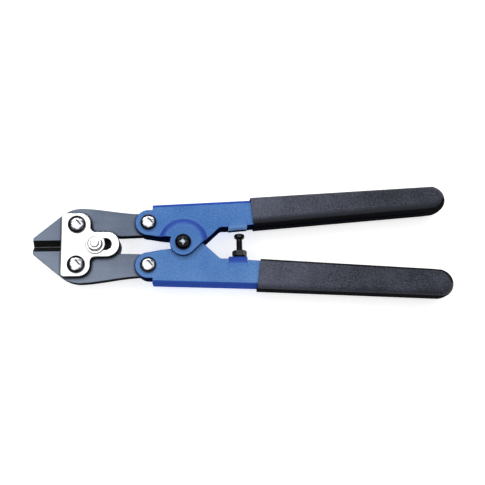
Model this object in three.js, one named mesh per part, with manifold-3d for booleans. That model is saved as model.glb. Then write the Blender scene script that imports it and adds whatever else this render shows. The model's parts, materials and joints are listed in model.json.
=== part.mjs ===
// Compact bolt cutters with closed blades, lying on their back. +X runs from the blade tips to the
// grips, +Y towards the upper handle and +Z along the pivots, towards the front of the tool.
// Millimetres. The origin is on the supporting surface, under the middle of the tool's box.
import * as THREE from "three";
import { mergeVertices } from "three/addons/utils/BufferGeometryUtils.js";
import Module from "manifold-3d";

const wasm = await Module();
wasm.setup();

// Linkage, measured from the line of symmetry. The lower half is the upper half turned over about X.
const JAW_PIVOT = { x: -82.6, y: 10.1 };
const TAIL_PIVOT = { x: -47.3, y: 10.8 };
const MAIN_PIVOT = { x: -30, y: 0 };

// Stack of layers, measured from the mid-plane of the jaws.
const JAW_HALF = 3.0;
const PLATE_IN = 3.15;
const PLATE_OUT = 5.8;
const SHEET = 2.4;
const CHEEK_OUT = 5.8;
const CHEEK_IN = CHEEK_OUT - SHEET;
const EAR_IN = CHEEK_OUT + 0.25;
const EAR_OUT = EAR_IN + SHEET;
const SEAT_GAP = 0.1;

// Jaws.
const TIP_X = -104.5;
const TIP_HEIGHT = 4.1;
const EDGE_Y = 0.1;
const EDGE_HALF_LAND = 0.1;
const BEVEL_HEIGHT = 2.7;
const BEVEL_END_X = -88.0;
const KNUCKLE_RADIUS = JAW_PIVOT.y - EDGE_Y;
const TAIL_RADIUS = 5.6;
const SHOULDER = { x: -90.8, y: 15.3 };
const CROWN = { x: -81.2, y: 19.0, leadY: 18.9, frontX: -86.4, backX: -72.5 };
const TAIL_TOP = { x: -52, y: 15.9, leadX: -62, leadY: 16.3 };
const TAIL_UNDER = { from: -51, y: 4.7, to: -61, low: 4.4 };
const KNUCKLE_TOP = { x: -76, y: 5.2, leadX: -69, turn: THREE.MathUtils.degToRad(-80) };

// Side plates.
const PLATE_LEFT = -90.3;
const PLATE_TOP = 16.1;
const PLATE_CORNER = 1.9;
const LOBE = { x: -81.5, y: 10.4, r: 5.7 };
const TONGUE = { x: -67.9, half: 6.4 };
const ROOT_FILLET = 2.2;
const SLOT = { from: -74.7, to: -68.4, half: 2.8 };

// Handle stampings.
const EAR_RADIUS = 6.5;
const LOBE_RADIUS = 6.6;
const WEB_START = { x: -45.3, y: 20.0 };
const WEB_SLOPE = 0.0402;
const BEND_RADIUS = 2.0;
const CHANNEL_END_X = 97;
const V_EDGE = THREE.MathUtils.degToRad(43);
const THROAT_Y = 8.0;
const CROTCH_Y = 2.7;
const EAR_UNDER = { x: -41.2, y: 3.2 };
const TAB = { from: -7.5, to: 1.8, bend: 4.5, relief: 0.2, slot: 0.6 };
const UPPER_TAB = { face: 7.0, reach: 1.5 };
const LOWER_TAB = { face: 6.1, reach: 4.0 };
const JOGGLE = { inner: 9.0, under: 9.8, outer: 12.3, lap: 13.0, cut: 12.6 };
const INNER_EDGE = { x: 4.5, y: 9.0, slope: 0.0785 };

// Grips.
const GRIP_HALF = 7.5;
const GRIP_ROUND = 2.6;
const GRIP_OUTER = { x: 5, y: 23.4, slope: 0.0516 };
const GRIP_WALL = 0.85;
const GRIP_FIT = 0.25;
const UPPER_GRIP = { mouth: 4.5, x: 97.3, y: 21.9, r: 6.5 };
const LOWER_GRIP = { mouth: 7.3, x: 98.2, y: 21.6, r: 6.8 };

// Fasteners: shank radius, head radius and height, half of the nut's width across flats.
const JAW_BOLT = { shank: 2.4, head: 4.45, rise: 2.4, seat: PLATE_OUT, flats: 4.0, nut: 2.8 };
const TAIL_BOLT = { shank: 2.0, head: 3.95, rise: 2.2, seat: CHEEK_OUT, flats: 3.5, nut: 2.4 };
const MAIN_BOLT = { shank: 2.5, head: 3.95, rise: 2.3, seat: EAR_OUT, flats: 4.0, nut: 2.8 };
const HEAD = { drum: 0.8, foot: 0.15, lip: 0.2 };
const NUT_CROWN = { past: 1.2, drop: 0.7 };
const POINT = 0.4; // chamfer at the end of a shank
const PROUD = 0.4; // length of a shank behind its nut
const HOLE_PLAY = 0.12;
const MAIN_SUNK = 0.3; // from the main nut's face in to the end of its bolt
const JAW_PLAY = 0.2;
const MAIN_PLAY = 0.35;
const BUSH = { radius: 4.8, play: 0.2 };
const STOP = { x: -2.0, shank: 1.6, tail: -12, neck: 2.5, cone: 0.9, head: 2.65, crown: 1.0, top: 5.55 };
const STOP_NUT = { flats: 3.2, thick: 2.9 };

// Slide lock.
const LOCK_X = -73.4;
const LOCK_BLOCK = { half: 2.1, length: 5.2, boss: 2.45, root: 0.5 };
const LOCK_WASHER = { r: 4.9, from: 5.9, to: 6.75 };
const LOCK_BUTTON = { r: 3.7, from: 6.8, to: 8.5 };
const LOCK_RIVET = { r: 1.3, head: 2.2, top: 9.5, tail: -2.6 };
const LOCK_PLAY = 0.1;
const LOCK_GAP = 0.05;
const LOCK_EDGE = 0.25;
const RIVET_EDGE = { in: 0.6, down: 0.4 };

// Sides of a full circle, for fasteners and for the joggle.
const ROUND = 24;
const BIG_ROUND = 40;
const BACK_Z = MAIN_BOLT.seat + SEAT_GAP + MAIN_BOLT.nut;
const MID_X = (TIP_X + LOWER_GRIP.x + LOWER_GRIP.r) / 2;

// Materials.
const steel = (color, roughness) => new THREE.MeshStandardMaterial({ color, roughness, metalness: 1 });
const jawSteel = steel(0x76808c, 0.38);
const brightPlate = steel(0xe6e8ea, 0.22);
const brightBolt = steel(0xd4d6da, 0.12);
const blackSteel = steel(0x17181b, 0.35);
const zincNut = steel(0xb9bcc2, 0.35);
const blueEnamel = new THREE.MeshStandardMaterial({ color: 0x3f6ec4, roughness: 0.45 });
const slateVinyl = new THREE.MeshStandardMaterial({ color: 0x34363d, roughness: 0.75 });

// A closed geometry as a manifold-3d solid, and back.
function solid(geometry) {
  const bare = geometry.index ? geometry.toNonIndexed() : geometry.clone();
  bare.deleteAttribute("normal");
  bare.deleteAttribute("uv");
  const merged = mergeVertices(bare, 1e-4);
  const vertProperties = merged.attributes.position.array;
  const triVerts = new Uint32Array(merged.index.array);
  return new wasm.Manifold(new wasm.Mesh({ numProp: 3, vertProperties, triVerts }));
}

function geometry(body) {
  const mesh = body.getMesh();
  const made = new THREE.BufferGeometry();
  made.setAttribute("position", new THREE.BufferAttribute(new Float32Array(mesh.vertProperties), 3));
  made.setIndex(new THREE.BufferAttribute(new Uint32Array(mesh.triVerts), 1));
  made.computeVertexNormals();
  return made;
}

function named(name, body, material) {
  const mesh = new THREE.Mesh(geometry(body), material);
  mesh.name = name;
  return mesh;
}

// Solids that the pieces are cut and joined from.
function slab(outline, from, to) {
  const made = new THREE.ExtrudeGeometry(outline, {
    depth: to - from,
    bevelEnabled: false,
    curveSegments: 10,
  });
  return solid(made.translate(0, 0, from));
}

// A section drawn in Y and Z, extruded along X.
function alongX(section, from, to, curveSegments = 1) {
  const made = new THREE.ExtrudeGeometry(section, {
    depth: to - from,
    bevelEnabled: false,
    curveSegments,
  });
  return solid(made.rotateZ(Math.PI / 2).rotateY(Math.PI / 2).translate(from, 0, 0));
}

function box(x0, x1, y0, y1, z0, z1) {
  const made = new THREE.BoxGeometry(x1 - x0, y1 - y0, z1 - z0);
  return solid(made.translate((x0 + x1) / 2, (y0 + y1) / 2, (z0 + z1) / 2));
}

// A profile of [radius, height] pairs turned about the Z axis through `at`.
function turned(profile, at, sides = ROUND) {
  const points = profile.map(([r, z]) => new THREE.Vector2(r, z));
  const made = new THREE.LatheGeometry([...points, points[0].clone()], sides);
  return solid(made.rotateX(Math.PI / 2).translate(at.x, at.y, 0));
}

// The same about the Y axis, through the middle of the stop tabs.
function crossTurned(profile) {
  const points = profile.map(([r, y]) => new THREE.Vector2(r, y));
  const made = new THREE.LatheGeometry([...points, points[0].clone()], ROUND);
  return solid(made.translate(STOP.x, 0, 0));
}

const rodProfile = (r, from, to) => [[0, from], [r, from], [r, to], [0, to]];
const rod = (at, r, from, to, sides = ROUND) => turned(rodProfile(r, from, to), at, sides);
const crossRod = (r, from, to) => crossTurned(rodProfile(r, from, to));

function hexagon(flats) {
  return Array.from({ length: 6 }, (_, i) => {
    const turn = (i * Math.PI) / 3;
    const r = flats / Math.cos(Math.PI / 6);
    return new THREE.Vector2(r * Math.cos(turn), r * Math.sin(turn));
  });
}

// Jaws: a flat forging with a blade at one end and a tail at the other, joined at its pivot.
function jawOutline() {
  const s = new THREE.Shape();
  s.moveTo(TIP_X, EDGE_Y);
  s.lineTo(TIP_X, TIP_HEIGHT);
  s.lineTo(SHOULDER.x, SHOULDER.y);
  s.quadraticCurveTo(CROWN.frontX, CROWN.leadY, CROWN.x, CROWN.y);
  s.bezierCurveTo(CROWN.backX, CROWN.leadY, TAIL_TOP.leadX, TAIL_TOP.leadY, TAIL_TOP.x, TAIL_TOP.y);
  s.absarc(TAIL_PIVOT.x, TAIL_PIVOT.y, TAIL_RADIUS, Math.PI / 2, -Math.PI / 2, true);
  s.lineTo(TAIL_UNDER.from, TAIL_UNDER.y);
  s.lineTo(TAIL_UNDER.to, TAIL_UNDER.low);
  s.quadraticCurveTo(KNUCKLE_TOP.leadX, TAIL_UNDER.y, KNUCKLE_TOP.x, KNUCKLE_TOP.y);
  s.absarc(JAW_PIVOT.x, JAW_PIVOT.y, KNUCKLE_RADIUS, KNUCKLE_TOP.turn, -Math.PI / 2, true);
  return s;
}

// The wedge that a bevel takes off one face of the blade, leaving a narrow land at the cutting edge.
function bevelWedge(side) {
  const s = new THREE.Shape();
  s.moveTo(EDGE_Y - 1, side * EDGE_HALF_LAND);
  s.lineTo(EDGE_Y, side * EDGE_HALF_LAND);
  s.lineTo(EDGE_Y + BEVEL_HEIGHT, side * JAW_HALF);
  s.lineTo(EDGE_Y + BEVEL_HEIGHT, side * (JAW_HALF + 1));
  s.lineTo(EDGE_Y - 1, side * (JAW_HALF + 1));
  return alongX(s, TIP_X - 1, BEVEL_END_X);
}

function jaw() {
  const pivotHole = rod(JAW_PIVOT, JAW_BOLT.shank + JAW_PLAY, -JAW_HALF - 1, JAW_HALF + 1);
  const tailHole = rod(TAIL_PIVOT, TAIL_BOLT.shank + JAW_PLAY, -JAW_HALF - 1, JAW_HALF + 1);
  return slab(jawOutline(), -JAW_HALF, JAW_HALF)
    .subtract(bevelWedge(1))
    .subtract(bevelWedge(-1))
    .subtract(pivotHole)
    .subtract(tailHole);
}

// Side plates: a T with a lobe over each jaw pivot and a round tongue between the tails.
function plateOutline() {
  const s = new THREE.Shape();
  const fillet = { x: LOBE.x + LOBE.r + ROOT_FILLET, y: TONGUE.half + ROOT_FILLET };
  const corner = { x: PLATE_LEFT + PLATE_CORNER, y: PLATE_TOP - PLATE_CORNER };
  s.absarc(corner.x, -corner.y, PLATE_CORNER, -Math.PI, -Math.PI / 2, false);
  s.absarc(LOBE.x, -LOBE.y, LOBE.r, -Math.PI / 2, 0, false);
  s.absarc(fillet.x, -fillet.y, ROOT_FILLET, Math.PI, Math.PI / 2, true);
  s.absarc(TONGUE.x, 0, TONGUE.half, -Math.PI / 2, Math.PI / 2, false);
  s.absarc(fillet.x, fillet.y, ROOT_FILLET, -Math.PI / 2, -Math.PI, true);
  s.absarc(LOBE.x, LOBE.y, LOBE.r, 0, Math.PI / 2, false);
  s.absarc(corner.x, corner.y, PLATE_CORNER, Math.PI / 2, Math.PI, false);
  return s;
}

function slotOutline() {
  const s = new THREE.Shape();
  s.absarc(SLOT.to, 0, SLOT.half, -Math.PI / 2, Math.PI / 2, false);
  s.absarc(SLOT.from, 0, SLOT.half, Math.PI / 2, (3 * Math.PI) / 2, false);
  return s;
}

function sidePlate(from, to) {
  const hole = JAW_BOLT.shank + HOLE_PLAY;
  return slab(plateOutline(), from, to)
    .subtract(rod(JAW_PIVOT, hole, from - 1, to + 1))
    .subtract(rod({ x: JAW_PIVOT.x, y: -JAW_PIVOT.y }, hole, from - 1, to + 1));
}

const slottedPlate = () => sidePlate(PLATE_IN, PLATE_OUT).subtract(slab(slotOutline(), 0, PLATE_OUT + 1));

// Handles: a channel pressed from sheet. Its web is the outer edge, and its two cheeks hold the
// jaw's tail and lap over the other handle's cheeks at the main pivot.
function cheekOutline() {
  const s = new THREE.Shape();
  const webEnd = WEB_START.y + WEB_SLOPE * (CHANNEL_END_X - WEB_START.x);
  const innerAt = (x) => INNER_EDGE.y + INNER_EDGE.slope * (x - INNER_EDGE.x);
  const crotch = -Math.PI - Math.asin(CROTCH_Y / LOBE_RADIUS);
  const tangent = V_EDGE - Math.PI / 2;
  const lobeEdge = {
    x: MAIN_PIVOT.x + LOBE_RADIUS * Math.cos(tangent),
    y: LOBE_RADIUS * Math.sin(tangent),
  };
  const throatX = lobeEdge.x + (THROAT_Y - lobeEdge.y) / Math.tan(V_EDGE);
  s.moveTo(WEB_START.x, TAIL_PIVOT.y + EAR_RADIUS);
  s.lineTo(WEB_START.x, WEB_START.y);
  s.lineTo(CHANNEL_END_X, webEnd);
  s.lineTo(CHANNEL_END_X, innerAt(CHANNEL_END_X));
  s.lineTo(TAB.to, innerAt(TAB.to));
  s.lineTo(TAB.from, THROAT_Y);
  s.lineTo(throatX + 1, THROAT_Y);
  s.quadraticCurveTo(throatX, THROAT_Y, throatX - 1, THROAT_Y - Math.tan(V_EDGE));
  s.absarc(MAIN_PIVOT.x, MAIN_PIVOT.y, LOBE_RADIUS, tangent, crotch, true);
  s.lineTo(EAR_UNDER.x, EAR_UNDER.y);
  s.absarc(TAIL_PIVOT.x, TAIL_PIVOT.y, EAR_RADIUS, -Math.PI / 2, -(3 * Math.PI) / 2, true);
  return s;
}

// The channel's cross-section in Y and Z, with rounded outer bends, swept along the web.
function channel() {
  const depth = 45;
  const past = 15;
  const reach = CHANNEL_END_X - WEB_START.x + past;
  const lean = THREE.MathUtils.radToDeg(Math.atan(WEB_SLOPE));
  const s = new THREE.Shape();
  s.moveTo(-depth, CHEEK_OUT);
  s.lineTo(-depth, CHEEK_IN);
  s.lineTo(-SHEET, CHEEK_IN);
  s.lineTo(-SHEET, -CHEEK_IN);
  s.lineTo(-depth, -CHEEK_IN);
  s.lineTo(-depth, -CHEEK_OUT);
  s.absarc(-BEND_RADIUS, -CHEEK_OUT + BEND_RADIUS, BEND_RADIUS, -Math.PI / 2, 0, false);
  s.absarc(-BEND_RADIUS, CHEEK_OUT - BEND_RADIUS, BEND_RADIUS, 0, Math.PI / 2, false);
  return alongX(s, -past, reach, 4).rotate([0, 0, lean]).translate([WEB_START.x, WEB_START.y, 0]);
}

// The front cheek steps out round the main pivot, to lie over the other handle's flat cheek.
function joggle() {
  const profile = [
    [0, EAR_IN],
    [JOGGLE.under, EAR_IN],
    [JOGGLE.outer, CHEEK_IN],
    [JOGGLE.lap, CHEEK_IN],
    [JOGGLE.lap, CHEEK_OUT],
    [JOGGLE.outer, CHEEK_OUT],
    [JOGGLE.inner, EAR_OUT],
    [0, EAR_OUT],
  ];
  return turned(profile, MAIN_PIVOT, BIG_ROUND);
}

// A stop tab: a tongue of a cheek's inner edge, bent across the channel and past its middle.
// It is drawn on the back cheek.
function tab(size) {
  const inner = TAB.bend - SHEET;
  const centre = { y: size.face + TAB.bend, z: -CHEEK_OUT + TAB.bend };
  const s = new THREE.Shape();
  s.moveTo(size.face, size.reach);
  s.lineTo(size.face + SHEET, size.reach);
  s.absarc(centre.y, centre.z, inner, Math.PI, (3 * Math.PI) / 2, false);
  s.lineTo(centre.y + 1, -CHEEK_IN);
  s.lineTo(centre.y + 1, -CHEEK_OUT);
  s.absarc(centre.y, centre.z, TAB.bend, -Math.PI / 2, -Math.PI, true);
  return alongX(s, TAB.from, TAB.to, 5);
}

function tabRelief(size) {
  const reach = size.face + TAB.bend + TAB.slot;
  return box(TAB.from - TAB.relief, TAB.to + TAB.relief, 0, reach, -CHEEK_OUT - 1, 0);
}

function stamping() {
  const top = EAR_OUT + 1;
  const lift = slab(cheekOutline(), 0, top).intersect(joggle());
  return channel()
    .intersect(slab(cheekOutline(), -CHEEK_OUT - 1, CHEEK_OUT + 1))
    .subtract(rod(MAIN_PIVOT, JOGGLE.cut, 0, top, BIG_ROUND))
    .add(lift)
    .subtract(rod(MAIN_PIVOT, MAIN_BOLT.shank + MAIN_PLAY, -top, top))
    .subtract(rod(TAIL_PIVOT, TAIL_BOLT.shank + HOLE_PLAY, -top, top));
}

function upperHandle() {
  const forwards = [0, 0, 1];
  const relief = tabRelief(UPPER_TAB).mirror(forwards);
  return stamping().subtract(relief).add(tab(UPPER_TAB).mirror(forwards));
}

// Before it is turned over, its tab is on the back cheek, and the stop screw goes through it.
function lowerHandle() {
  return stamping()
    .subtract(tabRelief(LOWER_TAB))
    .add(tab(LOWER_TAB))
    .subtract(crossRod(STOP.shank + HOLE_PLAY, 0, -STOP.tail));
}

// Grips: a round-edged sleeve over the handle, closed at its far end.
function gripOutline(end, mouth, inset) {
  const s = new THREE.Shape();
  const outerAt = (x) => GRIP_OUTER.y + GRIP_OUTER.slope * (x - GRIP_OUTER.x) - inset;
  const innerAt = (x) => INNER_EDGE.y - GRIP_WALL + INNER_EDGE.slope * (x - INNER_EDGE.x) + inset;
  const lean = Math.atan(GRIP_OUTER.slope);
  const rise = Math.atan(INNER_EDGE.slope);
  s.moveTo(mouth, outerAt(mouth));
  s.lineTo(mouth, innerAt(mouth));
  s.absarc(end.x, end.y, end.r - inset, rise - Math.PI / 2, lean + Math.PI / 2, false);
  return s;
}

function grip(size) {
  const past = 8;
  const { mouth } = size;
  const made = new THREE.ExtrudeGeometry(gripOutline(size, mouth - past, GRIP_ROUND), {
    depth: 2 * (GRIP_HALF - GRIP_ROUND),
    bevelEnabled: true,
    bevelSize: GRIP_ROUND,
    bevelThickness: GRIP_ROUND,
    bevelSegments: 4,
    curveSegments: 8,
  });
  made.translate(0, 0, -(GRIP_HALF - GRIP_ROUND));
  const wall = 40;
  const mouthCut = box(mouth - wall, mouth, -wall, wall, -wall, wall);
  const fit = GRIP_FIT;
  const s = new THREE.Shape();
  const webAt = (x) => WEB_START.y + WEB_SLOPE * (x - WEB_START.x) + fit;
  const innerAt = (x) => INNER_EDGE.y + INNER_EDGE.slope * (x - INNER_EDGE.x) - fit;
  const from = mouth - past;
  const to = CHANNEL_END_X + fit;
  s.moveTo(from, innerAt(from));
  s.lineTo(to, innerAt(to));
  s.lineTo(to, webAt(to));
  s.lineTo(from, webAt(from));
  const core = slab(s, -CHEEK_OUT - fit, CHEEK_OUT + fit);
  return solid(made).subtract(mouthCut).subtract(core);
}

// Bolts have a low domed head at the front and a hexagon nut at the back.
function bolt(at, size, length) {
  const seat = size.seat + SEAT_GAP;
  const rim = seat + HEAD.drum;
  const dome = size.rise - HEAD.drum;
  const profile = [
    [0, -length],
    [size.shank - POINT, -length],
    [size.shank, -length + POINT],
    [size.shank, seat],
    [size.head - HEAD.foot, seat],
    [size.head, seat + HEAD.lip],
    [size.head, rim],
  ];
  for (let i = 1; i < 5; i++) {
    const turn = (i * Math.PI) / 10;
    profile.push([size.head * Math.cos(turn), rim + dome * Math.sin(turn)]);
  }
  profile.push([0, rim + dome]);
  return turned(profile, at);
}

function nut(at, size) {
  const near = -size.seat - SEAT_GAP;
  const far = near - size.nut;
  const past = size.flats + NUT_CROWN.past;
  const crown = [[0, far], [size.flats, far], [past, far + NUT_CROWN.drop], [past, near], [0, near]];
  return slab(new THREE.Shape(hexagon(size.flats)), far, near)
    .translate([at.x, at.y, 0])
    .intersect(turned(crown, at))
    .subtract(rod(at, size.shank + HOLE_PLAY, far - 1, near + 1));
}

// The bush keeps the two inner cheeks apart at the main pivot.
function bush() {
  const half = CHEEK_IN - BUSH.play;
  const bore = rod(MAIN_PIVOT, MAIN_BOLT.shank + HOLE_PLAY, -half - 1, half + 1);
  return rod(MAIN_PIVOT, BUSH.radius, -half, half).subtract(bore);
}

// Stop screw and lock nut, standing on the lower handle's tab.
function stopScrew() {
  return crossTurned([
    [0, STOP.tail],
    [STOP.shank - POINT, STOP.tail],
    [STOP.shank, STOP.tail + POINT],
    [STOP.shank, STOP.neck],
    [STOP.head, STOP.neck + STOP.cone],
    [STOP.head, STOP.top - STOP.crown],
    [STOP.head - STOP.cone, STOP.top - POINT / 2],
    [0, STOP.top],
  ]);
}

function stopNut() {
  const seat = -LOWER_TAB.face + SEAT_GAP;
  const bore = crossRod(STOP.shank + HOLE_PLAY, seat - 1, seat + STOP_NUT.thick + 1);
  return slab(new THREE.Shape(hexagon(STOP_NUT.flats)), 0, STOP_NUT.thick)
    .rotate([-90, 0, 0])
    .translate([STOP.x, seat, 0])
    .subtract(bore);
}

// Slide lock: a block between the jaw tails, a washer and a thumb button outside, and their rivet.
function lockBlock() {
  const at = { x: LOCK_X, y: 0 };
  const reach = LOCK_BLOCK.length / 2 - LOCK_BLOCK.half;
  const s = new THREE.Shape();
  s.absarc(LOCK_X + reach, 0, LOCK_BLOCK.half, -Math.PI / 2, Math.PI / 2, false);
  s.absarc(LOCK_X - reach, 0, LOCK_BLOCK.half, Math.PI / 2, (3 * Math.PI) / 2, false);
  const foot = JAW_HALF - LOCK_PLAY;
  const bossTop = LOCK_WASHER.from - LOCK_GAP;
  return slab(s, -foot, foot)
    .add(rod(at, LOCK_BLOCK.boss, foot - LOCK_BLOCK.root, bossTop))
    .subtract(rod(at, LOCK_RIVET.r + LOCK_PLAY, LOCK_RIVET.tail - LOCK_PLAY, bossTop + 1));
}

function lockDisc(size) {
  const at = { x: LOCK_X, y: 0 };
  const profile = [
    [0, size.from],
    [size.r, size.from],
    [size.r, size.to - LOCK_EDGE],
    [size.r - LOCK_EDGE, size.to],
    [0, size.to],
  ];
  return turned(profile, at).subtract(rod(at, LOCK_RIVET.r + LOCK_PLAY, size.from - 1, size.to + 1));
}

function lockRivet() {
  const seat = LOCK_BUTTON.to + LOCK_GAP;
  const { r, head, top, tail } = LOCK_RIVET;
  const profile = [
    [0, tail],
    [r, tail],
    [r, seat],
    [head, seat],
    [head, top - RIVET_EDGE.down],
    [head - RIVET_EDGE.in, top],
    [0, top],
  ];
  return turned(profile, { x: LOCK_X, y: 0 });
}

// Assembly.
const cutters = new THREE.Group();
cutters.position.set(-MID_X, 0, BACK_Z);

const halves = [
  { side: "upper", turn: 0, stamped: upperHandle, sleeve: UPPER_GRIP, sign: 1 },
  { side: "lower", turn: Math.PI, stamped: lowerHandle, sleeve: LOWER_GRIP, sign: -1 },
];
for (const { side, turn, stamped, sleeve, sign } of halves) {
  const half = new THREE.Group();
  half.rotation.x = turn;
  half.add(named(side + "_jaw", jaw(), jawSteel));
  half.add(named(side + "_handle", stamped(), blueEnamel));
  half.add(named(side + "_grip", grip(sleeve), slateVinyl));
  cutters.add(half);
  for (const [pivot, size, kind] of [[JAW_PIVOT, JAW_BOLT, "jaw"], [TAIL_PIVOT, TAIL_BOLT, "tail"]]) {
    const at = { x: pivot.x, y: sign * pivot.y };
    const length = size.seat + SEAT_GAP + size.nut + PROUD;
    cutters.add(named(side + "_" + kind + "_bolt", bolt(at, size, length), brightBolt));
    cutters.add(named(side + "_" + kind + "_nut", nut(at, size), zincNut));
  }
}

const mainLength = BACK_Z - MAIN_SUNK;
cutters.add(
  named("front_side_plate", slottedPlate(), brightPlate),
  named("rear_side_plate", sidePlate(-PLATE_OUT, -PLATE_IN), brightPlate),
  named("main_pivot_bolt", bolt(MAIN_PIVOT, MAIN_BOLT, mainLength), blackSteel),
  named("main_pivot_nut", nut(MAIN_PIVOT, MAIN_BOLT), blackSteel),
  named("main_pivot_bush", bush(), zincNut),
  named("stop_screw", stopScrew(), blackSteel),
  named("stop_nut", stopNut(), blackSteel),
  named("lock_block", lockBlock(), zincNut),
  named("lock_washer", lockDisc(LOCK_WASHER), brightBolt),
  named("lock_button", lockDisc(LOCK_BUTTON), brightBolt),
  named("lock_rivet", lockRivet(), brightBolt),
);

export default cutters;
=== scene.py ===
# Compact bolt cutters: the looks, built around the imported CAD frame.
# Shapes are drawn in millimetres in the tool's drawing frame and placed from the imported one. Its
# origin is on the line of symmetry and the mid-plane of the jaws, 30 mm from the main pivot towards
# the grips. X runs to the grips, Y to the upper handle and Z to the front.
import json
import math

import bmesh
import bpy
import numpy as np
from mathutils import Matrix, Vector
from mathutils.geometry import delaunay_2d_cdt


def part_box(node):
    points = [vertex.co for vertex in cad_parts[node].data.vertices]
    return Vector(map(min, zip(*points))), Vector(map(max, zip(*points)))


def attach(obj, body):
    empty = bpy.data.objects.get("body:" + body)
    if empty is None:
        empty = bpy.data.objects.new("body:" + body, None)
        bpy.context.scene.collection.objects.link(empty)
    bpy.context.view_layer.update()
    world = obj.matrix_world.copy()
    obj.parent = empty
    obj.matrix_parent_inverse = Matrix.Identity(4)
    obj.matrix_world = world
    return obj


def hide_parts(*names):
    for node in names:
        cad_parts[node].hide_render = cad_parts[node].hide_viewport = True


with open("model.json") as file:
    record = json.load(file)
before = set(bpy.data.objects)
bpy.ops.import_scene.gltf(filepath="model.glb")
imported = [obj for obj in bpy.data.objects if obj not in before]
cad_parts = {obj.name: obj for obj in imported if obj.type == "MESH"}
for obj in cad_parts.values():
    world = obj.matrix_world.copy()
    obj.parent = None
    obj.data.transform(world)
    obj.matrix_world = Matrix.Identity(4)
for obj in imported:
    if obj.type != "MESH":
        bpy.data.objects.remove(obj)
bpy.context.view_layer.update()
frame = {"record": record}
record = frame["record"]
BODY = {n: b for b, names in record["behaviour"]["bodies"].items() for n in names}
SLOT = {row["node"]: row["material_slot"] for row in record["subparts"]}
MM = 0.001
MM_PER_METRE = 1000.0
TINY = 1e-6


def centre(node):
    low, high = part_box(node)
    return (low + high) / 2


PIVOT_X = -30.0
ORIGIN = Vector((centre("main_pivot_bush").x - PIVOT_X * MM, 0, centre("upper_jaw").z))


def drawn(node):
    """The middle of a node in the drawing frame, in millimetres."""
    return (centre(node) - ORIGIN) / MM


# The linkage, read from the frame.
JAW_PIVOT = drawn("upper_jaw_bolt")
TAIL_PIVOT = drawn("upper_tail_bolt")
MAIN_PIVOT = drawn("main_pivot_bush")
LOCK = drawn("lock_washer")
STOP = drawn("stop_screw")
TIP_X = (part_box("upper_jaw")[0].x - ORIGIN.x) / MM

# The layers, as heights from the mid-plane of the jaws, and the line of the cheeks' inner edges.
JAW_HALF = 3.0
EDGE_GAP = 0.03
PLATE_IN = 3.12
PLATE_OUT = 5.8
SHEET = 2.4
CHEEK_OUT = 5.8
CHEEK_IN = CHEEK_OUT - SHEET
EAR_RISE = 2.65
EAR_OUT = CHEEK_OUT + EAR_RISE
INNER_FRONT_X, INNER_FRONT, INNER_SLOPE = 4.5, 9.0, 0.0785


# ------------------------------------------------ outlines
SAME_PLACE = 1e-3
SHORTEST_MITRE = 0.45  # keeps the corner of a sharp point from running away


class Outline:
    """A closed outline in the drawing plane, built from lines, arcs and Bezier curves."""

    def __init__(self, start=None):
        self.points = [start] if start else []

    def line(self, x, y):
        self.points.append((x, y))
        return self

    def arc(self, x, y, r, start, end, step=0.35):
        """An arc between two angles in degrees."""
        count = max(4, int(abs(math.radians(end - start)) * r / step) + 1)
        for a in np.radians(np.linspace(start, end, count)):
            self.points.append((x + r * math.cos(a), y + r * math.sin(a)))
        return self

    def curve(self, *controls, count=14):
        """A Bezier curve from the last point through the given control points."""
        hull = [np.array(self.points[-1])] + [np.array(c) for c in controls]
        n = len(hull) - 1
        for t in np.linspace(0, 1, count)[1:]:
            terms = [math.comb(n, i) * (1 - t) ** (n - i) * t**i * hull[i] for i in range(n + 1)]
            self.points.append(tuple(sum(terms)))
        return self

    def array(self, step=None):
        """The points without repeats, with long edges cut to about `step`."""
        kept = []
        for p in self.points:
            if not kept or math.dist(p, kept[-1]) > SAME_PLACE:
                kept.append(p)
        if math.dist(kept[0], kept[-1]) < SAME_PLACE:
            kept.pop()
        if step:
            kept = [q for a, b in zip(kept, kept[1:] + kept[:1]) for q in divided(a, b, step)]
        return np.array(kept)


def divided(a, b, step):
    """Points along an edge, about a step apart, without the last one."""
    count = max(1, round(math.dist(a, b) / step))
    return [tuple(np.array(a) + (np.array(b) - np.array(a)) * i / count) for i in range(count)]


def circle(x, y, r, count=48):
    turn = np.linspace(0, 2 * math.pi, count, endpoint=False)
    return np.stack([x + r * np.cos(turn), y + r * np.sin(turn)], 1)


def wound(loop, ccw):
    """A loop that runs counterclockwise, or clockwise."""
    x, y = loop[:, 0], loop[:, 1]
    area = np.sum(x * np.roll(y, -1) - y * np.roll(x, -1))
    return loop if (area > 0) == ccw else loop[::-1]


def inset(loop, distance):
    """A loop moved to its left by a distance, along the mitre of each corner."""
    before = loop - np.roll(loop, 1, 0)
    after = np.roll(loop, -1, 0) - loop
    before /= np.linalg.norm(before, axis=1)[:, None]
    after /= np.linalg.norm(after, axis=1)[:, None]
    n0 = np.stack([-before[:, 1], before[:, 0]], 1)
    n1 = np.stack([-after[:, 1], after[:, 0]], 1)
    mitre = n0 + n1
    mitre /= np.linalg.norm(mitre, axis=1)[:, None]
    reach = 1 / np.maximum((mitre * n0).sum(1), SHORTEST_MITRE)
    return loop + mitre * reach[:, None] * distance


# ------------------------------------------------ meshes
def new_object(name, verts, faces):
    """An object whose vertices are given in the drawing frame, in millimetres."""
    mesh = bpy.data.meshes.new(name)
    placed = [tuple(ORIGIN + Vector(v) * MM) for v in verts]
    mesh.from_pydata(placed, [], faces)
    obj = bpy.data.objects.new(name, mesh)
    bpy.context.scene.collection.objects.link(obj)
    return obj


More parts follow.
